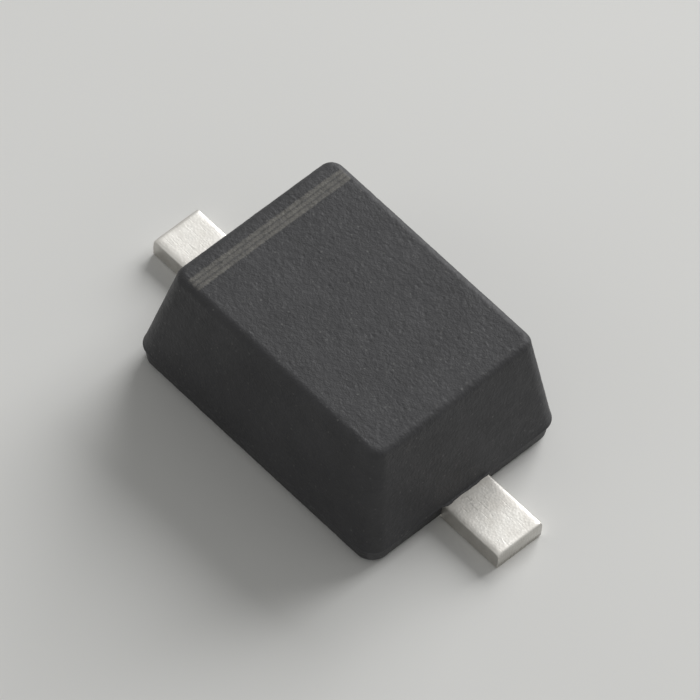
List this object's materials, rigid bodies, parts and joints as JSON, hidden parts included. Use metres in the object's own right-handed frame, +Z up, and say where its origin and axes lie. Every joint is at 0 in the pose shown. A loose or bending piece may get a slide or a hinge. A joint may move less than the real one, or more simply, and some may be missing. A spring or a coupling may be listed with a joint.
{
  "type": "zener diode",
  "caption": "Surface-mount zener diode: drafted dark epoxy block with a flat tinned lead at each end and a pale band at the cathode end.",
  "frame": {"origin": "centre of the package, on the plane that the undersides of the two leads rest on", "axes": "+X from the cathode lead to the anode lead, +Y across the package, +Z up through the top face"},
  "size_m": [0.0024, 0.0012, 0.0008],
  "materials": {
    "mould_compound": "matt black glass-filled epoxy with a fine eroded-mould grain",
    "tinned_lead_frame": "matt tin plating on a nickel-iron sheet, bare where the tips are sheared",
    "silver_adhesive": "cured silver-filled adhesive",
    "silicon": "sawn and polished silicon",
    "aluminium_contact": "evaporated aluminium",
    "gold_wire": "drawn gold wire"
  },
  "bodies": {
    "root": {"molded_body": "mould_compound", "cathode_lead": "tinned_lead_frame", "anode_lead": "tinned_lead_frame", "die_attach": "silver_adhesive", "zener_die": "silicon", "bond_pad": "aluminium_contact", "bond_wire": "gold_wire"}
  },
  "joints": []
}
